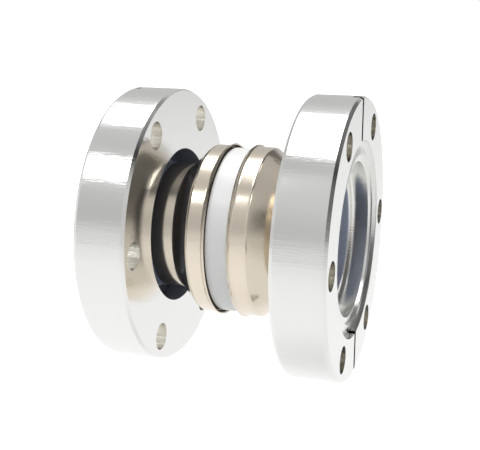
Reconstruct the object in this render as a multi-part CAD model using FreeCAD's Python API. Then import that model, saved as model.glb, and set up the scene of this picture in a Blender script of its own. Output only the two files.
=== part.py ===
"""Ceramic vacuum break: two knife-edge flanges joined through thin metal cups and an alumina ring.

The tube axis is +X and +Z is up, through the leak-check grooves. The origin is the middle of the unit.
Each side's pieces are worked out for +X, and the left ones are the same pieces turned half a turn about Z.
Lengths are millimetres and angles are degrees.
"""
import FreeCAD, Part
import math
import os

os.makedirs("parts", exist_ok=True)

# Whole unit
back_face_gap = 33.6              # between the back faces of the two flanges
flange_thickness = 12.7

# Flange bore, and the counterbore that opens at the back
bore_diameter = 38.1
shoulder_step = 0.55              # the counterbore's radius is larger by this
shoulder_depth = 5.6              # from the sealing face to the shoulder between them

# Sealing side: gasket recess and knife edge
recess_depth = 1.35
knife_tip_depth = 0.65            # from the sealing face down to the edge
knife_flank_slope = 20.0
bore_to_knife = 1.9               # radially, so that the edge is 41.9 across
knife_to_recess = 3.2             # radially, so that the recess is 48.3 across
leak_groove_width = 1.6
leak_groove_depth = 2.4

# Bolt holes and rim
bolt_hole_diameter = 6.73
bolt_count = 6
recess_to_bolt_hole = 1.845       # metal between them, so that the bolt circle is 58.72 across
bolt_hole_to_rim = 1.945          # metal between them, so that the flange is 69.34 across
rim_chamfer_length = 0.8          # along the axis
rim_chamfer_angle = 30.0

# Collar: short tube with an outward web that sits on the shoulder
tube_to_counterbore = 3.725       # free space round the tube, which is 31.75 across
tube_wall = 0.7
web_thickness = 1.5
web_fit_clearance = 0.05
web_root_radius = 0.8
collar_edge_break = 0.25
neck_inset = 1.8                  # the cup's neck reaches this far inside the back face

# Fillet weld in the corner of bore and web
weld_leg_on_bore = 0.6
weld_leg_on_web = 0.6
weld_hollow = 0.05                # how far the bead's face dips below a straight line

# Cup: one formed sheet, whose neck is as wide as the tube
cup_rise = 5.325                  # radially from the neck to the cylinder, which is 42.4 across
cup_wall = 0.45
cup_cylinder_end = 7.35           # from the middle of the unit to the corner of the cone
cone_angle = 45.0
cone_bend_radius = 1.0
neck_bend_radius = 1.0
lip_angle = 58.0
lip_bend_radius = 0.8
lip_straight = 0.16               # flat run of the lip past its bend

# Ceramic ring and the braze that holds it
ceramic_window = 5.5              # bare ceramic between the two lips
ceramic_wall = 3.2
ceramic_end_setback = 1.0         # from the corner of the cone back to the end of the ceramic
ceramic_chamfer = 0.3
braze_film = 0.15

overshoot = 1.0                   # how far a cutting tool runs past the face that it cuts

# Worked out from the sizes above
back_x = back_face_gap / 2
face_x = back_x + flange_thickness
shoulder_x = face_x - shoulder_depth
recess_floor_x = face_x - recess_depth
bore_r = bore_diameter / 2
counterbore_r = bore_r + shoulder_step
knife_r = bore_r + bore_to_knife
flank_foot_r = knife_r + (recess_depth - knife_tip_depth) / math.tan(math.radians(knife_flank_slope))
recess_r = knife_r + knife_to_recess
bolt_hole_r = bolt_hole_diameter / 2
bolt_circle_r = recess_r + recess_to_bolt_hole + bolt_hole_r
flange_r = bolt_circle_r + bolt_hole_r + bolt_hole_to_rim
tube_r = counterbore_r - tube_to_counterbore
tube_inner_r = tube_r - tube_wall
joint_x = back_x + neck_inset
cup_r = tube_r + cup_rise
ceramic_r = cup_r - cup_wall - braze_film
ceramic_half_length = cup_cylinder_end - ceramic_end_setback


def tangent_length(radius, turn):
    """Distance from a corner to where an arc of this radius leaves its straight run."""
    return radius * math.tan(math.radians(turn) / 2)


def direction(start, end):
    """Unit vector from start to end."""
    step = end - start
    return step / step.Length


def rounded_edges(corners, radii, closed=False):
    """Straight runs through the corners, with a tangent arc at each corner that has a radius."""
    count = len(corners)
    joints = []
    for i, corner in enumerate(corners):
        is_end = not closed and i in (0, count - 1)
        if is_end or radii[i] == 0:
            joints.append((corner, None, corner))
            continue
        before = direction(corner, corners[i - 1])
        after = direction(corner, corners[(i + 1) % count])
        half_angle = before.getAngle(after) / 2
        reach = radii[i] / math.tan(half_angle)
        inward = before + after
        inward = inward / inward.Length
        middle = corner + inward * (radii[i] / math.sin(half_angle) - radii[i])
        joints.append((corner + before * reach, middle, corner + after * reach))
    edges = []
    for i, (arc_start, arc_middle, arc_end) in enumerate(joints):
        if arc_middle is not None:
            edges.append(Part.Arc(arc_start, arc_middle, arc_end).toShape())
        if i < count - 1 or closed:
            next_start = joints[(i + 1) % count][0]
            edges.append(Part.LineSegment(arc_end, next_start).toShape())
    return edges


def turned(edges):
    """Solid of revolution about the tube axis. The edges close an outline whose y is the radius."""
    outline = Part.Wire(Part.__sortEdges__(edges))
    return Part.Face(outline).revolve(FreeCAD.Vector(0, 0, 0), FreeCAD.Vector(1, 0, 0), 360)


def turned_from(points, radii=None):
    """Solid of revolution from (x, radius) points, with optional corner radii."""
    corners = [FreeCAD.Vector(x, r, 0) for x, r in points]
    return turned(rounded_edges(corners, radii or [0] * len(corners), closed=True))


def sheet_outline(outer, radii, wall):
    """Closed outline of a bent sheet: the outer path, and the same path moved inwards by the wall.

    Going along the outer path, the inside of the sheet is on the right-hand side.
    """
    headings = [direction(a, b) for a, b in zip(outer, outer[1:])]
    normals = [FreeCAD.Vector(h.y, -h.x, 0) for h in headings]
    inner = [outer[0] + normals[0] * wall]
    inner_radii = [0]
    for i in range(1, len(outer) - 1):
        before, after = normals[i - 1], normals[i]
        inner.append(outer[i] + (before + after) * (wall / (1 + before.dot(after))))
        turns_inwards = headings[i - 1].cross(headings[i]).z < 0
        inner_radii.append(radii[i] - wall if turns_inwards else radii[i] + wall)
    inner.append(outer[-1] + normals[-1] * wall)
    inner_radii.append(0)
    ends = [Part.LineSegment(outer[0], inner[0]).toShape(), Part.LineSegment(outer[-1], inner[-1]).toShape()]
    return rounded_edges(outer, radii) + rounded_edges(inner, inner_radii) + ends


def make_flange():
    """One turned flange with its bolt holes and leak-check grooves."""
    chamfer_drop = rim_chamfer_length * math.tan(math.radians(rim_chamfer_angle))
    flange = turned_from([
        (back_x, counterbore_r),
        (back_x, flange_r - chamfer_drop),
        (back_x + rim_chamfer_length, flange_r),
        (face_x - rim_chamfer_length, flange_r),
        (face_x, flange_r - chamfer_drop),
        (face_x, recess_r),
        (recess_floor_x, recess_r),
        (recess_floor_x, flank_foot_r),
        (face_x - knife_tip_depth, knife_r),
        (recess_floor_x, knife_r),
        (recess_floor_x, bore_r),
        (shoulder_x, bore_r),
        (shoulder_x, counterbore_r),
    ])
    axis = FreeCAD.Vector(1, 0, 0)
    tools = []
    for k in range(bolt_count):
        angle = 2 * math.pi * k / bolt_count
        y = bolt_circle_r * math.cos(angle)
        z = bolt_circle_r * math.sin(angle)
        start = FreeCAD.Vector(back_x - overshoot, y, z)
        tools.append(Part.makeCylinder(bolt_hole_r, flange_thickness + 2 * overshoot, start, axis))
    for side in (1, -1):
        tools.append(leak_groove(side))
    return flange.cut(tools)


def leak_groove(side):
    """Milled slot from the recess out through the rim, with the cutter's round end at the recess wall."""
    floor_x = face_x - leak_groove_depth
    cutter_r = leak_groove_width / 2
    height = leak_groove_depth + overshoot
    length = flange_r + overshoot - recess_r
    start = FreeCAD.Vector(floor_x, -cutter_r, recess_r)
    slot = Part.makeBox(height, leak_groove_width, length, start)
    centre = FreeCAD.Vector(floor_x, 0, recess_r)
    round_end = Part.makeCylinder(cutter_r, height, centre, FreeCAD.Vector(1, 0, 0))
    groove = slot.fuse(round_end)
    if side < 0:
        groove.rotate(FreeCAD.Vector(0, 0, 0), FreeCAD.Vector(1, 0, 0), 180)
    return groove


def make_collar():
    """Short tube with an outward web. The web's face sits on the shoulder in the flange."""
    web_r = counterbore_r - web_fit_clearance
    web_back_x = shoulder_x - web_thickness
    points = [
        (joint_x, tube_inner_r),
        (joint_x, tube_r),
        (web_back_x, tube_r),
        (web_back_x, web_r),
        (shoulder_x, web_r),
        (shoulder_x, tube_inner_r + collar_edge_break),
        (shoulder_x - collar_edge_break, tube_inner_r),
    ]
    return turned_from(points, [0, 0, web_root_radius, 0, 0, 0, 0])


def make_bore_weld():
    """Fillet weld in the corner of the bore and the web, with a slightly hollow face."""
    corner = FreeCAD.Vector(shoulder_x, bore_r, 0)
    on_bore = FreeCAD.Vector(shoulder_x + weld_leg_on_bore, bore_r, 0)
    on_web = FreeCAD.Vector(shoulder_x, bore_r - weld_leg_on_web, 0)
    middle = (on_bore + on_web) * 0.5
    dip = middle + direction(middle, corner) * weld_hollow
    return turned([
        Part.LineSegment(corner, on_bore).toShape(),
        Part.Arc(on_bore, dip, on_web).toShape(),
        Part.LineSegment(on_web, corner).toShape(),
    ])


def lip_corner_x():
    """Where the lip's run meets the cylinder, so that the lip's inner edge frames the ceramic window."""
    lip_turn = math.radians(lip_angle)
    lip_run = tangent_length(lip_bend_radius, lip_angle) + lip_straight
    edge_x = ceramic_window / 2 + cup_wall * math.sin(lip_turn)
    return edge_x + lip_run * math.cos(lip_turn), lip_run


def make_cup():
    """Formed cup: flared lip, cylinder round the ceramic, cone, and the neck that reaches into the flange."""
    corner_x, lip_run = lip_corner_x()
    lip_turn = math.radians(lip_angle)
    cone_length = (cup_r - tube_r) / math.tan(math.radians(cone_angle))
    outer = [
        FreeCAD.Vector(corner_x - lip_run * math.cos(lip_turn), cup_r + lip_run * math.sin(lip_turn), 0),
        FreeCAD.Vector(corner_x, cup_r, 0),
        FreeCAD.Vector(cup_cylinder_end, cup_r, 0),
        FreeCAD.Vector(cup_cylinder_end + cone_length, tube_r, 0),
        FreeCAD.Vector(joint_x, tube_r, 0),
    ]
    radii = [0, lip_bend_radius, cone_bend_radius, neck_bend_radius, 0]
    return turned(sheet_outline(outer, radii, cup_wall))


def make_ceramic():
    """Plain ring of alumina with its edges broken."""
    inner_r = ceramic_r - ceramic_wall
    end = ceramic_half_length
    return turned_from([
        (-end, inner_r + ceramic_chamfer),
        (-end, ceramic_r - ceramic_chamfer),
        (-end + ceramic_chamfer, ceramic_r),
        (end - ceramic_chamfer, ceramic_r),
        (end, ceramic_r - ceramic_chamfer),
        (end, inner_r + ceramic_chamfer),
        (end - ceramic_chamfer, inner_r),
        (-end + ceramic_chamfer, inner_r),
    ])


def make_braze_ring():
    """Film of braze that fills the space between the cup's cylinder and the ceramic."""
    corner_x, _ = lip_corner_x()
    start = corner_x + tangent_length(lip_bend_radius, lip_angle)
    end = ceramic_half_length - ceramic_chamfer
    outer_r = ceramic_r + braze_film
    return turned_from([(start, ceramic_r), (start, outer_r), (end, outer_r), (end, ceramic_r)])


def save(shape, node):
    """Write one node, and say what it measures."""
    solid = shape.Solids[0]
    print(node, "solids", len(shape.Solids), "valid", shape.isValid(), "volume", round(solid.Volume, 1))
    solid.exportStep("parts/" + node + ".step")


def save_both_sides(shape, name):
    """Write the right piece, and the same piece turned half a turn about Z as the left one."""
    save(shape, "right_" + name)
    left = shape.copy()
    left.rotate(FreeCAD.Vector(0, 0, 0), FreeCAD.Vector(0, 0, 1), 180)
    save(left, "left_" + name)


save_both_sides(make_flange(), "flange")
save_both_sides(make_collar(), "collar")
save_both_sides(make_bore_weld(), "bore_weld")
save_both_sides(make_cup(), "cup")
save_both_sides(make_braze_ring(), "braze_ring")
save(make_ceramic(), "ceramic_ring")
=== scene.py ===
# %% [markdown]
# Ceramic vacuum break
#
# The object is an electrical isolator for a vacuum line: an alumina ring between two thin metal cups, with
# a bolted knife-edge flange at each end. The CAD frame already has the turned shapes at their real sizes,
# so Blender's work is the studio, the finishes and the small things that a lathe or a welder leaves behind.
# Lengths are metres, +X runs along the tube towards the right flange, and +Z is up.

# %% Load the CAD frame
import math

import bpy
import numpy as np
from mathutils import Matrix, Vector


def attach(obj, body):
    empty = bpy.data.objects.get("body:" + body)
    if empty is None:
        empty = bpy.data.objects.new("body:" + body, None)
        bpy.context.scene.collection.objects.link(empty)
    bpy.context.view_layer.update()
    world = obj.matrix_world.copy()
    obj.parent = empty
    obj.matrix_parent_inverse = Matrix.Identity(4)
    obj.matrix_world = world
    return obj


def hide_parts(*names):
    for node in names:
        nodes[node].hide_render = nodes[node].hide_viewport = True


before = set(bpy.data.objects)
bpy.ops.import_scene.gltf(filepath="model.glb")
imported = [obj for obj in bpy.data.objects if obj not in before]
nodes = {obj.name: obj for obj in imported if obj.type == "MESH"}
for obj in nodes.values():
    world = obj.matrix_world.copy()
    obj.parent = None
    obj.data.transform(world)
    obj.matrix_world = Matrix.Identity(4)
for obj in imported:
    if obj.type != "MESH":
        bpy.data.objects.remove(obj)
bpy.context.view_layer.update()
scene = bpy.context.scene
print("nodes:", ", ".join(sorted(nodes)))

# %% [markdown]
# The camera
#
# The photograph was taken from a little above and from the right flange's side. The camera's place, turn
# and lens come from a fit to the outlines of both flanges, their bolt holes and the recess. The picture's
# middle is the lens's middle, so the camera needs no shift.

# %% Place the camera
CAMERA_PLACE = Vector((0.068455, -0.208654, 0.061509))
CAMERA_AZIMUTH = math.radians(18.380)   # turned from -Y towards +X
CAMERA_TILT = math.radians(15.350)      # looking down
SENSOR_WIDTH = 36.0
LENS = 67.59

camera_data = bpy.data.cameras.new("camera")
camera_data.sensor_fit = "HORIZONTAL"
camera_data.sensor_width = SENSOR_WIDTH
camera_data.lens = LENS
camera_data.clip_start = 0.01
camera_data.clip_end = 50.0
camera = bpy.data.objects.new("camera", camera_data)
camera.location = CAMERA_PLACE
camera.rotation_euler = (math.pi / 2 - CAMERA_TILT, 0.0, CAMERA_AZIMUTH)
scene.collection.objects.link(camera)
scene.camera = camera
scene.view_settings.view_transform = "Standard"
print("camera", [round(v, 4) for v in camera.location], "lens", LENS)


# %% [markdown]
# Helpers
#
# A surface is an array of points with two parameters, so all its points are worked out at once with numpy
# and only the faces have to be numbered. A material is a few nodes, and one function adds any kind of node
# with its settings and links.

# %% Helpers for surfaces and nodes
def surface(name, points, closed=False, closed_profile=False):
    """Mesh object from an array of points[i, j]. Neighbours in i and j make a square. A closed surface
    joins its last i to its first, and a closed profile its last j to its first."""
    rows, columns = points.shape[:2]
    last_i, last_j = rows - (not closed), columns - (not closed_profile)
    i, j = np.meshgrid(np.arange(last_i), np.arange(last_j), indexing="ij")
    next_i, next_j = (i + 1) % rows, (j + 1) % columns
    corners = np.stack([i * columns + j, next_i * columns + j,
                        next_i * columns + next_j, i * columns + next_j], -1)
    mesh = bpy.data.meshes.new(name)
    mesh.from_pydata(points.reshape(-1, 3), [], corners.reshape(-1, 4))
    mesh.shade_smooth()
    piece = bpy.data.objects.new(name, mesh)
    scene.collection.objects.link(piece)
    return piece


def store(piece, name, values):
    """Keep one number for each point of a surface, for its material to read as an attribute."""
    attribute = piece.data.attributes.new(name, "FLOAT", "POINT")
    attribute.data.foreach_set("value", values.ravel().astype(np.float32))


def add_node(tree, kind, inputs=None, **settings):
    """Node of this kind, with its settings. Each input is set to a value, or linked to an output or to
    another node's first output in use."""
    node = tree.nodes.new(kind)
    for name, value in settings.items():
        setattr(node, name, value)
    for name, value in (inputs or {}).items():
        if isinstance(value, bpy.types.Node):
            value = next(output for output in value.outputs if output.enabled)
        if isinstance(value, bpy.types.NodeSocket):
            tree.links.new(value, node.inputs[name])
        else:
            node.inputs[name].default_value = value
    return node


def linear(colour):
    """Linear red, green, blue and alpha of an sRGB hex colour."""
    value = np.array([int(colour[k:k + 2], 16) for k in (1, 3, 5)]) / 255
    value = np.where(value <= 0.04045, value / 12.92, ((value + 0.055) / 1.055) ** 2.4)
    return (*value.tolist(), 1.0)


def new_material(name):
    """Empty node material and its output node."""
    material = bpy.data.materials.new(name)
    material.use_nodes = True
    material.node_tree.nodes.clear()
    return material, add_node(material.node_tree, "ShaderNodeOutputMaterial")


def smooth_step(value, low, high):
    """0 below low, 1 above high, and an S curve between them."""
    t = np.clip((value - low) / (high - low), 0, 1)
    return t * t * (3 - 2 * t)


# %% [markdown]
# The studio
#
# Polished metal shows the room more than itself, so the room is part of the picture. It could be an image
# of a studio wrapped round the scene, but here it is built like a real one, which needs no file: a tent of
# white cloth over a pale floor, with two softboxes, one above, askew, and one in front on the left. Their
# outlines were worked out from the photograph, by following the camera's rays to the rims and cups and on
# from there.
#
# A direction up to the softbox above is given by its slopes x/z and y/z, and the box lies between two
# slopes y/z, near and far, that change with x/z. The one in front lies between two azimuths and two
# elevations, in degrees, and its upper edge rises to the right.

# %% Shape of the two softboxes
SLOPE_X = [-0.78, -0.52, -0.36, -0.30, -0.25, 0.05, 0.22]
SLOPE_NEAR = [0.78, 0.20, 0.19, 0.17, -0.17, -0.22, -0.24]
SLOPE_FAR = [0.72, 0.71, 0.705, 0.70, 0.69, 0.64, 0.40]
FRONT_AZIMUTH = (-65.0, -31.0)
FRONT_LOW = 42.4
FRONT_HIGH = (52.6, 55.0)            # at its left and right ends


def outside(value, low, high):
    """How far a value lies outside a range, and 0 inside it."""
    return np.maximum(np.maximum(low - value, value - high), 0)


# %% [markdown]
# The white world
#
# The photograph has a plain white background. A white world at strength 1 gives exactly that to the camera,
# with no more light on the object than white paper would give.

# %% World
world = bpy.data.worlds.new("white world")
world.use_nodes = True
world.node_tree.nodes["Background"].inputs["Color"].default_value = linear("#FFFFFF")
world.node_tree.nodes["Background"].inputs["Strength"].default_value = 1.0
scene.world = world
print("world:", world.name)

# %% [markdown]
# The tent
#
# Cloth in front of a lamp is never quite even. The tent is a little brighter at the horizon than above it,
# dark where it is open at the back, and darker in a narrow gap low on the left. Cloth beside a softbox
# catches some of its light, so the softbox's reflection ends in a soft glow and not in a hard line. Each
# point of the tent keeps its brightness as an attribute, which an emission shader reads. The tent lights
# the object and is mirrored in it, but the camera looks through the tent at the white world.

# %% Brightness of the tent
HORIZON_GLOW, LOW_GLOW, HIGH_GLOW, BACK_GLOW = 0.79, 0.60, 0.70, 0.57
FAR_LEFT_ADDS = 0.20
OPEN_FROM, OPEN_TO = math.radians(47), math.radians(172)   # from +X, where the tent is open
OPEN_GLOW = 0.15
GAP_AZIMUTH, GAP_WIDTH, GAP_TAKES = -74, 8, 0.30           # in degrees, as for the softbox in front
BETWEEN_SLOPE, BETWEEN_WIDTH = -0.32, 0.2                  # y/z of the darker band between softboxes
BETWEEN_TAKES = (0.05, 0.14)                               # at its left and right ends
TOP_HALO, TOP_HALO_REACH = 0.36, 0.11                      # the reach is a slope
NEAR_SHRINKS, FAR_STRETCHES = 1.8, 0.42                    # the glow is narrow in front, wide behind
FRONT_HALO, FRONT_HALO_REACH = 0.20, 3.5                   # the reach is in degrees


def cloth_by_height(x, y, z):
    """Brightness of the plain cloth. In front it goes from the horizon's by S curves in z to the low one,
    at 0.25, and from 0.3 to the high one, at 0.65. Towards the back it turns into the back's, and it rises
    on the far left."""
    horizon = HORIZON_GLOW - 0.10 * smooth_step(x, 0.1, 0.55)
    low = LOW_GLOW + 0.10 * np.clip(x, -0.6, 0.2)
    high = HIGH_GLOW + 0.20 * np.clip(x, -0.6, 0.1)
    front = horizon + (low - horizon) * smooth_step(z, 0.0, 0.25)
    front += (high - low) * smooth_step(z, 0.3, 0.65)
    turned_back = front + (BACK_GLOW - front) * smooth_step(y, -0.3, 0.5)
    return turned_back + FAR_LEFT_ADDS * smooth_step(-x, 0.8, 0.97)


def tent_glow(towards):
    """Brightness of the tent by direction: the plain cloth, less a Gaussian in azimuth at the gap and one
    in the slope y/z between the softboxes, faded to the open part's by S curves, and more beside each
    softbox by an exponential of the distance from its edge."""
    x, y, z = towards[..., 0], towards[..., 1], towards[..., 2]
    glow = cloth_by_height(x, y, z)
    azimuth = np.degrees(np.arctan2(x, -y))
    elevation = np.degrees(np.arcsin(np.clip(z, -1, 1)))
    gap = np.exp(-((azimuth - GAP_AZIMUTH) / GAP_WIDTH) ** 2)
    glow -= GAP_TAKES * gap * (1 - smooth_step(z, 0.08, 0.22))
    past_start = x * math.cos(OPEN_FROM) + y * math.sin(OPEN_FROM)
    before_end = -x * math.cos(OPEN_TO) - y * math.sin(OPEN_TO)
    is_open = smooth_step(past_start, -0.12, 0.12) * smooth_step(before_end, -0.08, 0.08)
    glow += (OPEN_GLOW - glow) * is_open * smooth_step(z, 0.02, 0.17)

    rising = np.maximum(z, 0.2)          # keeps the slopes finite near the horizon
    slope_x, slope_y = x / rising, y / rising
    between = np.exp(-((slope_y - BETWEEN_SLOPE) / BETWEEN_WIDTH) ** 2) * smooth_step(z, 0.6, 0.8)
    taken = BETWEEN_TAKES[0] + (BETWEEN_TAKES[1] - BETWEEN_TAKES[0]) * smooth_step(x, -0.36, -0.22)
    glow -= taken * between
    beside = outside(slope_x, SLOPE_X[0], SLOPE_X[-1])
    short = np.interp(slope_x, SLOPE_X, SLOPE_NEAR) - slope_y
    past = slope_y - np.interp(slope_x, SLOPE_X, SLOPE_FAR)
    short_or_past = np.maximum(np.maximum(NEAR_SHRINKS * short, FAR_STRETCHES * past), 0)
    glow += TOP_HALO * np.exp(-np.hypot(beside, short_or_past) / TOP_HALO_REACH) * smooth_step(z, 0.2, 0.5)

    beside = outside(azimuth, *FRONT_AZIMUTH) * np.cos(np.radians(elevation))
    above_or_below = outside(elevation, FRONT_LOW, np.interp(azimuth, FRONT_AZIMUTH, FRONT_HIGH))
    glow += FRONT_HALO * np.exp(-np.hypot(beside, above_or_below) / FRONT_HALO_REACH)
    return glow


# %% Tent
TENT_RADIUS = 2.5
TENT_RINGS, TENT_SPOKES = 120, 240
TENT_FROM = -0.06                    # in radians, so it starts just below the floor
TENT_HOLE = 0.001                    # in radians, left open at the very top

turn = np.linspace(0, 2 * np.pi, TENT_SPOKES, endpoint=False)[:, None]
rise = np.linspace(TENT_FROM, np.pi / 2 - TENT_HOLE, TENT_RINGS)[None, :]
towards = np.stack([np.cos(rise) * np.cos(turn), np.cos(rise) * np.sin(turn), np.sin(rise) + 0 * turn], -1)
tent = surface("tent", towards * TENT_RADIUS, closed=True)
store(tent, "glow", tent_glow(towards))

cloth, out = new_material("lit white cloth")
tree = cloth.node_tree
level = add_node(tree, "ShaderNodeAttribute", attribute_name="glow")
shine = add_node(tree, "ShaderNodeEmission", {"Strength": level.outputs["Fac"]})
tree.links.new(shine.outputs["Emission"], out.inputs["Surface"])
tent.data.materials.append(cloth)
tent.visible_camera = False
tent.visible_shadow = False
print("tent faces", len(tent.data.polygons))


# %% [markdown]
# The softboxes
#
# A softbox is a lamp behind a panel of cloth. An area lamp would do, but only as a rectangle, and the one
# above is askew with bent sides. So each is a small grid between its edges, with the tent's cloth, and an
# attribute that makes it dimmer towards its sides, as a real panel is.

# %% Softboxes
TOP_HEIGHT, FRONT_DISTANCE = 1.5, 1.6
TOP_RADIANCE, FRONT_RADIANCE = 4.7, 6.0
LONG_STEPS, SHORT_STEPS = 33, 17     # points along the sides of a softbox
DIM_FROM, DIM_TO = -0.1, 0.125       # parts of a side between which a softbox's S curve rises


def softbox(name, corner_points, radiance):
    """Glowing cloth panel from points[i, j]. Its light falls off over the outer eighth of each side."""
    rows, columns = corner_points.shape[:2]
    u = np.linspace(0, 1, rows)[:, None]
    v = np.linspace(0, 1, columns)[None, :]
    inside = np.minimum(np.minimum(u, 1 - u), np.minimum(v, 1 - v))
    piece = surface(name, corner_points)
    store(piece, "glow", radiance * smooth_step(inside, DIM_FROM, DIM_TO))
    piece.data.materials.append(cloth)
    piece.visible_camera = False
    print(name, "faces", len(piece.data.polygons))


slope_x = np.linspace(SLOPE_X[0], SLOPE_X[-1], LONG_STEPS)[:, None]
part_way = np.linspace(0, 1, LONG_STEPS)[None, :]
near = np.interp(slope_x, SLOPE_X, SLOPE_NEAR)
far = np.interp(slope_x, SLOPE_X, SLOPE_FAR)
slopes = np.stack(np.broadcast_arrays(slope_x, near + (far - near) * part_way, 1.0), -1)
softbox("softbox above", slopes * TOP_HEIGHT, TOP_RADIANCE)

azimuth = np.radians(np.linspace(*FRONT_AZIMUTH, LONG_STEPS))[:, None]
highest = np.linspace(*FRONT_HIGH, LONG_STEPS)[:, None]
part_way = np.linspace(0, 1, SHORT_STEPS)[None, :]
elevation = np.radians(FRONT_LOW + (highest - FRONT_LOW) * part_way)
outward = np.cos(elevation)
front = np.stack(np.broadcast_arrays(outward * np.sin(azimuth), -outward * np.cos(azimuth),
                                     np.sin(elevation)), -1)
softbox("softbox in front", front * FRONT_DISTANCE, FRONT_RADIANCE)
scene.cycles.glossy_bounces = 12     # a bright hole or bore hands light on by many reflections

# %% [markdown]
# The floor
#
# The object floats over a plain pale floor, as it does in the photograph. The floor is matt, so it takes
# the soft light and a faint shadow. A little light is added to it for camera rays, so that it reads as
# white as the background, and for the rays of metal, which has to see a pale floor too. No light is added
# for the rays that light the object.

# %% Floor
FLOOR_HEIGHT = -0.13
FLOOR_GREY = linear("#CBCBCB")
# Light added where the camera sees the floor, so that it reads white: under the object, where its shadow
# shows, and further away. Then light added where metal sees it, at the same two distances.
FLOOR_LIFT = (0.42, 0.90)
FLOOR_LIFT_IN_METAL = (0.42, 0.36)
LIFT_FROM, LIFT_TO = 0.15, 0.6
FLOOR_RINGS, FLOOR_SPOKES = 24, 96
FLOOR_HOLE = 0.001                   # left open in the middle, far below the object

turn = np.linspace(0, 2 * np.pi, FLOOR_SPOKES, endpoint=False)[:, None]
reach = np.linspace(FLOOR_HOLE, TENT_RADIUS, FLOOR_RINGS)[None, :]
level = 0 * reach * turn + FLOOR_HEIGHT
floor = surface("floor", np.stack([reach * np.cos(turn), reach * np.sin(turn), level], -1), closed=True)
pale, out = new_material("pale matt floor")
tree = pale.node_tree
body = add_node(tree, "ShaderNodeBsdfDiffuse", {"Color": FLOOR_GREY})
place = add_node(tree, "ShaderNodeTexCoord")
from_middle = add_node(tree, "ShaderNodeVectorMath", {0: place.outputs["Object"]}, operation="LENGTH")
for_camera, for_metal = [add_node(tree, "ShaderNodeMapRange", {
    "Value": from_middle, "From Min": LIFT_FROM, "From Max": LIFT_TO, "To Min": close, "To Max": far})
    for close, far in (FLOOR_LIFT, FLOOR_LIFT_IN_METAL)]
rays = add_node(tree, "ShaderNodeLightPath")
metal_sees = add_node(tree, "ShaderNodeMath", {0: rays.outputs["Is Glossy Ray"],
                                               1: rays.outputs["Is Transmission Ray"]}, operation="MAXIMUM")
in_metal = add_node(tree, "ShaderNodeMath", {0: metal_sees, 1: for_metal}, operation="MULTIPLY")
lift = add_node(tree, "ShaderNodeMath", {0: rays.outputs["Is Camera Ray"], 1: for_camera, 2: in_metal},
                operation="MULTIPLY_ADD")
shine = add_node(tree, "ShaderNodeEmission", {"Strength": lift.outputs[0]})
both = add_node(tree, "ShaderNodeAddShader", {0: body.outputs[0], 1: shine.outputs[0]})
tree.links.new(both.outputs[0], out.inputs["Surface"])
floor.data.materials.append(pale)
print("floor at", FLOOR_HEIGHT)

# %% [markdown]
# Brush marks
#
# Every metal piece is turned, and was then polished with strokes that run along the axis on a cylinder and
# outwards on a face. So the marks are noise whose grains are long along X and long outwards, and narrow
# round the axis. An image wrapped round the axis would have a seam, and so would noise on an angle. The
# unit vector away from the axis has none. It is two of the noise's four dimensions, times the number of
# marks in a radian, and the others are the distance along X and the distance from the axis.

# %% Marks on a turned surface, and a brushed metal
def turned_place(tree):
    """Distance along the axis from the middle, distance from the axis, and unit vector away from it."""
    place = add_node(tree, "ShaderNodeTexCoord")
    across = add_node(tree, "ShaderNodeVectorMath", {0: place.outputs["Object"], 1: (0.0, 1.0, 1.0)},
                      operation="MULTIPLY")
    radius = add_node(tree, "ShaderNodeVectorMath", {0: across.outputs[0]}, operation="LENGTH")
    away = add_node(tree, "ShaderNodeVectorMath", {0: across.outputs[0]}, operation="NORMALIZE")
    split = add_node(tree, "ShaderNodeSeparateXYZ", {0: place.outputs["Object"]})
    return split.outputs, radius.outputs["Value"], away.outputs[0]


def brush_marks(tree, spot, length, outwards, width, at_radius):
    """Noise from 0 to 1 whose grains are this long along X and outwards, and this wide at a radius."""
    (x, _, _), radius, away = spot
    round_axis = add_node(tree, "ShaderNodeVectorMath", {0: away, "Scale": at_radius / width},
                          operation="SCALE")
    along = add_node(tree, "ShaderNodeMath", {0: x, 1: 1 / length}, operation="MULTIPLY")
    stretched = add_node(tree, "ShaderNodeCombineXYZ", {"X": along.outputs[0]})
    four = add_node(tree, "ShaderNodeVectorMath", {0: round_axis.outputs[0], 1: stretched.outputs[0]},
                    operation="ADD")
    fourth = add_node(tree, "ShaderNodeMath", {0: radius, 1: 1 / outwards}, operation="MULTIPLY")
    marks = add_node(tree, "ShaderNodeTexNoise", {"Vector": four.outputs[0], "W": fourth.outputs[0],
                                                  "Scale": 1.0, "Detail": 3.0, "Roughness": 0.6},
                     noise_dimensions="4D")
    return marks.outputs["Fac"]


def grain(tree, size):
    """Noise from 0 to 1 with round grains of this size."""
    place = add_node(tree, "ShaderNodeTexCoord")
    speckle = add_node(tree, "ShaderNodeTexNoise", {"Vector": place.outputs["Object"], "Scale": 1 / size,
                                                    "Detail": 2.0, "Roughness": 0.6})
    return speckle.outputs["Fac"]


def metal_skin(tree, out, colour, roughness, height, relief, metallic=1.0):
    """Metal with a bump: the height is noise from 0 to 1, and the relief is what 1 stands for, in metres."""
    bump = add_node(tree, "ShaderNodeBump", {"Height": height, "Distance": relief, "Strength": 1.0})
    skin = add_node(tree, "ShaderNodeBsdfPrincipled", {"Base Color": colour, "Metallic": metallic,
                                                       "Roughness": roughness, "Normal": bump.outputs[0]})
    tree.links.new(skin.outputs[0], out.inputs["Surface"])
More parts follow.
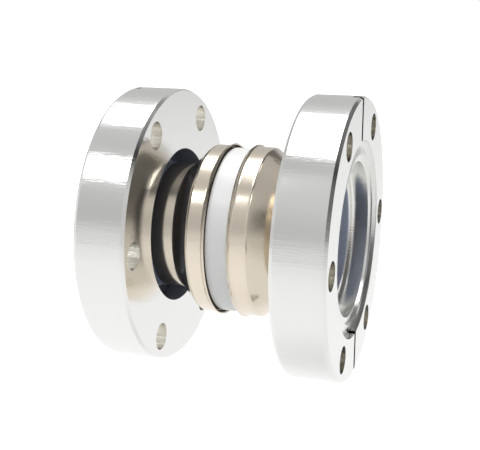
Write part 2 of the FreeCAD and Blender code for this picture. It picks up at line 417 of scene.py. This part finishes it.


# %% [markdown]
# Flange: turned and brushed stainless steel
#
# Stainless steel is a neutral, bright mirror that its brush marks blur. The same node tree knows the places
# that a polisher doesn't reach. The bolt holes are reamed, and their colour has painted highlight streaks
# along them and a warm, plain painted reflection. The left counterbore is blasted and tinted blue-grey by
# the heat of the weld, and darkened with painted shade for its depth, while the right one is bright in the
# mirror image on the right cup. The leak grooves are milled, and their darker colour is painted shade.
# Each place is found from its distance to an axis in object coordinates, so the pattern stays on the part
# wherever it is moved.

# %% Sizes of the flange that its finish needs
BOLT_CIRCLE_RADIUS = 0.02936
HOLE_RADIUS = 0.003365
FLANGE_RADIUS = 0.03467
FACE_X = 0.0295
COUNTERBORE_RADIUS = 0.0196
SHOULDER_X = 0.0239
RECESS_RADIUS = 0.02415
GROOVE_DEPTH = 0.0024
GROOVE_HALF_WIDTH = 0.0008
EDGE = 0.00003                       # a surface that lies just at a limit still falls on its own side

STEEL = linear("#EDEDEB")
# Warm painted reflection and painted highlight streaks for the bolt holes.
HOLE_PAINTED_REFLECTION, HOLE_PAINTED_HIGHLIGHT = linear("#E2E0DC"), linear("#FFFFFD")
# Blue-grey tint of the left counterbore, darkened with painted shade for its depth.
TINT_AND_PAINTED_SHADE = linear("#7C8391")
TINTED_ROUGHNESS, TINTED_METALLIC = 0.55, 0.5
# Painted shade in the leak grooves.
GROOVE_PAINTED_SHADE = linear("#77746A")
REAMED_RELIEF = 3.0                  # a reamed streak is this many times as high as a brush mark


# %% Where the bolt holes, counterbore and grooves are
def in_bolt_holes(tree, spot):
    """1 inside a bolt hole: the angle is folded to one hole in six, and the cosine rule gives the square of
    the distance to its axis, r * r - 2 * r * R * cos(angle) + R * R."""
    (_, y, z), radius, _ = spot
    angle = add_node(tree, "ShaderNodeMath", {0: z, 1: y}, operation="ARCTAN2")
    folded = add_node(tree, "ShaderNodeMath", {0: angle, 1: math.pi / 6}, operation="PINGPONG")
    cosine = add_node(tree, "ShaderNodeMath", {0: folded}, operation="COSINE")
    twice = add_node(tree, "ShaderNodeMath", {0: radius, 1: -2 * BOLT_CIRCLE_RADIUS}, operation="MULTIPLY")
    product = add_node(tree, "ShaderNodeMath", {0: twice, 1: cosine}, operation="MULTIPLY")
    square = add_node(tree, "ShaderNodeMath", {0: radius, 1: radius, 2: product}, operation="MULTIPLY_ADD")
    limit = (HOLE_RADIUS + EDGE) ** 2 - BOLT_CIRCLE_RADIUS ** 2
    return add_node(tree, "ShaderNodeMath", {0: square, 1: limit}, operation="LESS_THAN")


def in_counterbore(tree, spot):
    """1 in the counterbore of the left flange: near the axis, and behind the shoulder."""
    (x, _, _), radius, _ = spot
    narrow = add_node(tree, "ShaderNodeMath", {0: radius, 1: COUNTERBORE_RADIUS + EDGE},
                      operation="LESS_THAN")
    behind = add_node(tree, "ShaderNodeMath", {0: x, 1: -SHOULDER_X - EDGE}, operation="GREATER_THAN")
    on_left = add_node(tree, "ShaderNodeMath", {0: x, 1: 0.0}, operation="LESS_THAN")
    both = add_node(tree, "ShaderNodeMath", {0: narrow, 1: behind}, operation="MULTIPLY")
    return add_node(tree, "ShaderNodeMath", {0: both, 1: on_left}, operation="MULTIPLY")


def in_grooves(tree, spot):
    """1 in a leak groove: close to the plane y = 0, beyond the recess, and just below the flange's face."""
    (x, y, _), radius, _ = spot
    depth = add_node(tree, "ShaderNodeMath", {0: x}, operation="ABSOLUTE")
    middle = FACE_X - GROOVE_DEPTH / 2
    below = add_node(tree, "ShaderNodeMath", {0: depth, 1: middle, 2: GROOVE_DEPTH / 2 - EDGE},
                     operation="COMPARE")
    close = add_node(tree, "ShaderNodeMath", {0: y, 1: 0.0, 2: GROOVE_HALF_WIDTH + EDGE},
                     operation="COMPARE")
    beyond = add_node(tree, "ShaderNodeMath", {0: radius, 1: RECESS_RADIUS - GROOVE_HALF_WIDTH},
                      operation="GREATER_THAN")
    strip = add_node(tree, "ShaderNodeMath", {0: close, 1: beyond}, operation="MULTIPLY")
    return add_node(tree, "ShaderNodeMath", {0: strip, 1: below}, operation="MULTIPLY")


# %% [markdown]
# Brushed steel comes first, and one Mix node after another lays the other places over it. The steel's
# colour is the same all over: it looks brushed because the marks change its roughness and its height, which
# breaks the edge of each reflection into streaks.

# %% Flange steel
flange_steel, out = new_material("turned stainless steel")
tree = flange_steel.node_tree
spot = turned_place(tree)
hole, counterbore, groove = in_bolt_holes(tree, spot), in_counterbore(tree, spot), in_grooves(tree, spot)

# Brush marks are about 0.05 mm wide and a reamer's 0.1 mm. Both are drawn coarser, to show in the picture.
marks = brush_marks(tree, spot, length=0.008, outwards=0.0012, width=0.0005, at_radius=FLANGE_RADIUS)
reamer_marks_and_painted_streaks = brush_marks(tree, spot, length=0.03, outwards=0.0006, width=0.0006,
                        at_radius=BOLT_CIRCLE_RADIUS)
painted_highlight_streak = add_node(tree, "ShaderNodeMapRange", {"Value": reamer_marks_and_painted_streaks, "From Min": 0.44, "From Max": 0.56})
# The reamer's marks paint highlight streaks into the holes' colour, over a warm painted reflection.
hole_painted_light = add_node(tree, "ShaderNodeMix", {0: painted_highlight_streak, 6: HOLE_PAINTED_REFLECTION, 7: HOLE_PAINTED_HIGHLIGHT}, data_type="RGBA")
colour = add_node(tree, "ShaderNodeMix", {0: hole, 6: STEEL, 7: hole_painted_light}, data_type="RGBA")
# Painted shade in the left counterbore.
colour = add_node(tree, "ShaderNodeMix", {0: counterbore, 6: colour, 7: TINT_AND_PAINTED_SHADE}, data_type="RGBA")
# Painted shade in the leak grooves.
colour = add_node(tree, "ShaderNodeMix", {0: groove, 6: colour, 7: GROOVE_PAINTED_SHADE}, data_type="RGBA")
rough = add_node(tree, "ShaderNodeMapRange", {"Value": marks, "To Min": 0.08, "To Max": 0.15})
rough = add_node(tree, "ShaderNodeMix", {0: counterbore, 2: rough, 3: TINTED_ROUGHNESS})
metallic = add_node(tree, "ShaderNodeMix", {0: counterbore, 2: 1.0, 3: TINTED_METALLIC})
reamed_height = add_node(tree, "ShaderNodeMath", {0: reamer_marks_and_painted_streaks, 1: REAMED_RELIEF}, operation="MULTIPLY")
height = add_node(tree, "ShaderNodeMix", {0: hole, 2: marks, 3: reamed_height})
metal_skin(tree, out, colour, rough, height, relief=3.0e-5, metallic=metallic)
print(flange_steel.name, "nodes", len(tree.nodes))

# %% [markdown]
# Collar: blasted steel with heat tint
#
# The short tube inside each flange was blasted and then welded, and its thin oxide has the blue-grey of
# steel that got hot. An oxide scatters light, so the skin is only partly metallic, rough and slightly
# grainy. The back of the left collar's web, deep in the counterbore, is darker: that is painted shade. The
# collar's front face was cleaned after the weld, and is as bright as the flange. So is the outside of the
# right collar, which shows as a bright strip in the mirror image on the right cup.

# %% Collar steel
TUBE_RADIUS = 0.015875
WEB_FROM_RADIUS = 0.0167             # past the rounding between tube and web
TUBE_METALLIC, WEB_METALLIC = 0.3, 0.8
BLASTED_ROUGHNESS, CLEANED_ROUGHNESS = 0.6, 0.15
# The web's colour is the tube's tint made darker as painted shade, deep in the left counterbore.
TUBE_DARK, TUBE_PALE, WEB_TINT_AND_PAINTED_SHADE = linear("#A3ADC2"), linear("#C6D0E6"), linear("#5F6674")

collar_steel, out = new_material("blasted steel with heat tint")
tree = collar_steel.node_tree
(x, _, _), radius, _ = turned_place(tree)
from_middle = add_node(tree, "ShaderNodeMath", {0: x}, operation="ABSOLUTE")
front = add_node(tree, "ShaderNodeMath", {0: from_middle, 1: SHOULDER_X - EDGE}, operation="GREATER_THAN")
outer = add_node(tree, "ShaderNodeMath", {0: radius, 1: TUBE_RADIUS - EDGE}, operation="GREATER_THAN")
on_right = add_node(tree, "ShaderNodeMath", {0: x, 1: 0.0}, operation="GREATER_THAN")
right_outer = add_node(tree, "ShaderNodeMath", {0: outer, 1: on_right}, operation="MULTIPLY")
cleaned = add_node(tree, "ShaderNodeMath", {0: front, 1: right_outer}, operation="MAXIMUM")
web = add_node(tree, "ShaderNodeMath", {0: radius, 1: WEB_FROM_RADIUS}, operation="GREATER_THAN")
speckle = grain(tree, 0.0003)        # blasting grit is about 0.1 mm, drawn three times as coarse to show
contrast = add_node(tree, "ShaderNodeMapRange", {"Value": speckle, "From Min": 0.3, "From Max": 0.7})
shade = add_node(tree, "ShaderNodeMix", {0: contrast, 6: TUBE_DARK, 7: TUBE_PALE}, data_type="RGBA")
# Painted shade on the back of the left web.
colour = add_node(tree, "ShaderNodeMix", {0: web, 6: shade, 7: WEB_TINT_AND_PAINTED_SHADE}, data_type="RGBA")
colour = add_node(tree, "ShaderNodeMix", {0: cleaned, 6: colour, 7: STEEL}, data_type="RGBA")
rough = add_node(tree, "ShaderNodeMix", {0: cleaned, 2: BLASTED_ROUGHNESS, 3: CLEANED_ROUGHNESS})
metallic = add_node(tree, "ShaderNodeMix", {0: web, 2: TUBE_METALLIC, 3: WEB_METALLIC})
metallic = add_node(tree, "ShaderNodeMix", {0: cleaned, 2: metallic, 3: 1.0})
metal_skin(tree, out, colour, rough, speckle, relief=1.0e-5, metallic=metallic)
print(collar_steel.name, "nodes", len(tree.nodes))

# %% [markdown]
# Weld bead: as-welded stainless steel
#
# A fillet weld run without filler wire leaves a small hollow bead with fine ripples, one for each pulse of
# the arc, whose crests trail behind at the edges. In CAD it is a smooth ring. A bump map could draw the
# ripples, but not their outline, so here a numpy surface takes its place: the profile is carried round the
# axis, and each ripple lifts it. Weld metal is clean and glossy, with small uneven spots that sparkle.

# %% Weld beads
BORE_RADIUS = 0.01905
BEAD_LEG = 0.0006
BEAD_HOLLOW = 0.00016
BEAD_RIPPLES, POINTS_TO_A_RIPPLE = 150, 8
BEAD_RIPPLE_HEIGHT = 0.00004
RIPPLE_LAG = 0.9                     # in radians, at the edges of the bead
PROFILE_POINTS = 11                  # across the bead's face
SUNK = 0.00002                       # how far the bead's back lies in the steel, as the weld does
CLEAN_WELD = linear("#E8E6E2")


def weld_bead(side):
    """Ring whose face runs from the web, v = 0, to the bore, v = 1, in a hollow arc. Its height has a term
    |sin(ripples * angle / 2 - lag)|, and the lag grows with the square of v's distance from the middle."""
    angle = np.linspace(0, 2 * np.pi, BEAD_RIPPLES * POINTS_TO_A_RIPPLE, endpoint=False)[:, None]
    v = np.linspace(0, 1, PROFILE_POINTS)[None, :]
    middle = 4 * v * (1 - v)         # 1 in the middle of the face and 0 at its edges
    wave = np.abs(np.sin(BEAD_RIPPLES * angle / 2 - RIPPLE_LAG * (2 * v - 1) ** 2))
    ripple = wave * middle * BEAD_RIPPLE_HEIGHT
    dip = BEAD_HOLLOW * middle - ripple
    face_x = SHOULDER_X + BEAD_LEG * v - dip * math.sqrt(0.5)
    face_r = BORE_RADIUS - BEAD_LEG * (1 - v) + dip * math.sqrt(0.5)
    back_x = np.array([BEAD_LEG, 0.5 * BEAD_LEG, -SUNK, -SUNK, -SUNK]) + SHOULDER_X
    back_r = np.array([SUNK, SUNK, SUNK, -0.5 * BEAD_LEG, -BEAD_LEG]) + BORE_RADIUS
    loop_x = np.concatenate([face_x, np.broadcast_to(back_x, (len(angle), len(back_x)))], 1)
    loop_r = np.concatenate([face_r, np.broadcast_to(back_r, (len(angle), len(back_r)))], 1)
    return np.stack([side * loop_x, -side * loop_r * np.sin(angle), loop_r * np.cos(angle)], -1)


weld_steel, out = new_material("as-welded stainless steel")
tree = weld_steel.node_tree
speckle = grain(tree, 0.0004)        # spots about half as wide as a ripple, which is 0.8 mm
rough = add_node(tree, "ShaderNodeMapRange", {"Value": speckle, "To Min": 0.08, "To Max": 0.22})
metal_skin(tree, out, CLEAN_WELD, rough, speckle, relief=9.0e-5)
print(weld_steel.name, "nodes", len(tree.nodes))
for name, side in (("left_bore_weld", -1), ("right_bore_weld", 1)):
    bead = surface(name.replace("weld", "bead"), weld_bead(side), closed=True, closed_profile=True)
    bead.data.materials.append(weld_steel)
    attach(bead, "root")
    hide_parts(name)
    print(bead.name, "faces", len(bead.data.polygons))

# %% [markdown]
# Cups: polished nickel iron
#
# The cups are formed from an iron-nickel-cobalt sheet that grows with heat as alumina does. It is warmer in
# colour than steel, and drawing and polishing leave it evenly smooth, with only faint marks.

# %% Cup alloy
CUP_RADIUS = 0.0212
NICKEL_IRON = linear("#E9DECE")

cup_alloy, out = new_material("polished nickel iron")
tree = cup_alloy.node_tree
spot = turned_place(tree)
marks = brush_marks(tree, spot, length=0.004, outwards=0.004, width=0.0005, at_radius=CUP_RADIUS)
rough = add_node(tree, "ShaderNodeMapRange", {"Value": marks, "To Min": 0.13, "To Max": 0.18})
metal_skin(tree, out, NICKEL_IRON, rough, marks, relief=6.0e-6)
print(cup_alloy.name, "nodes", len(tree.nodes))

# %% [markdown]
# Braze: silver-copper alloy
#
# The braze is a thin film between ceramic and cup, and only its edge can be seen, deep under the lip. It
# melted and froze without being touched, so it is pale, smooth and slightly uneven. Noise in its roughness
# and a small bump are enough for that.

# %% Braze
SILVER_COPPER = linear("#B9B5AB")

braze_metal, out = new_material("silver braze")
tree = braze_metal.node_tree
speckle = grain(tree, 0.0006)        # frozen ripples are about half a millimetre across
rough = add_node(tree, "ShaderNodeMapRange", {"Value": speckle, "To Min": 0.25, "To Max": 0.45})
metal_skin(tree, out, SILVER_COPPER, rough, speckle, relief=6.0e-6)
print(braze_metal.name, "nodes", len(tree.nodes))

# %% [markdown]
# Ceramic ring: ground alumina
#
# Alumina is white, fine-grained and dense, and grinding leaves it satin. Its high index of refraction gives
# it a clear sheen. Its ends carry a painted and fired layer of molybdenum and manganese, dark grey, which
# the braze needs to wet it. The layer shows as a thin dark line beside each cup, with an edge as uneven as
# a brush leaves it. The material finds the layer by its distance from the middle, since one solid has both
# surfaces.

# %% Alumina
METALLISED_FROM = 0.00272            # distance from the middle at which the dark layer starts
METALLISED_WANDERS = 6.0e-5          # how far its edge strays to either side
METALLISED = linear("#34332F")
METALLISED_ROUGHNESS = 0.7
PALE_GRAIN, WHITE_GRAIN = linear("#F3F3F3"), linear("#F8F8F8")
ALUMINA_INDEX = 1.76

alumina, out = new_material("ground alumina")
tree = alumina.node_tree
(x, _, _), _, _ = turned_place(tree)
wander = add_node(tree, "ShaderNodeMapRange", {"Value": grain(tree, 0.0012),
                                               "To Min": -METALLISED_WANDERS, "To Max": METALLISED_WANDERS})
from_middle = add_node(tree, "ShaderNodeMath", {0: x}, operation="ABSOLUTE")
shifted = add_node(tree, "ShaderNodeMath", {0: from_middle, 1: wander}, operation="ADD")
layer = add_node(tree, "ShaderNodeMath", {0: shifted, 1: METALLISED_FROM}, operation="GREATER_THAN")
speckle = grain(tree, 0.00025)       # grains are about 10 micrometres, drawn far coarser to show at all
white = add_node(tree, "ShaderNodeMix", {0: speckle, 6: PALE_GRAIN, 7: WHITE_GRAIN}, data_type="RGBA")
colour = add_node(tree, "ShaderNodeMix", {0: layer, 6: white, 7: METALLISED}, data_type="RGBA")
satin = add_node(tree, "ShaderNodeMapRange", {"Value": speckle, "To Min": 0.3, "To Max": 0.42})
rough = add_node(tree, "ShaderNodeMix", {0: layer, 2: satin, 3: METALLISED_ROUGHNESS})
bump = add_node(tree, "ShaderNodeBump", {"Height": speckle, "Distance": 3.0e-6, "Strength": 1.0})
skin = add_node(tree, "ShaderNodeBsdfPrincipled", {"Base Color": colour, "Roughness": rough,
                                                   "IOR": ALUMINA_INDEX, "Normal": bump})
tree.links.new(skin.outputs[0], out.inputs["Surface"])
print(alumina.name, "nodes", len(tree.nodes))

# %% [markdown]
# Finishes on the CAD pieces
#
# The CAD meshes keep their shapes, and each gets one material. A left piece shares it with the right one,
# since their finishes differ only in places that the material finds for itself.

# %% Give each CAD node its finish
FINISHES = {"flange": flange_steel, "collar": collar_steel, "bore_weld": weld_steel, "cup": cup_alloy,
            "braze_ring": braze_metal, "ceramic_ring": alumina}
for name, node in nodes.items():
    kind = name.replace("left_", "").replace("right_", "")
    node.data.materials.clear()
    node.data.materials.append(FINISHES[kind])
print("finished:", ", ".join(sorted(FINISHES)))
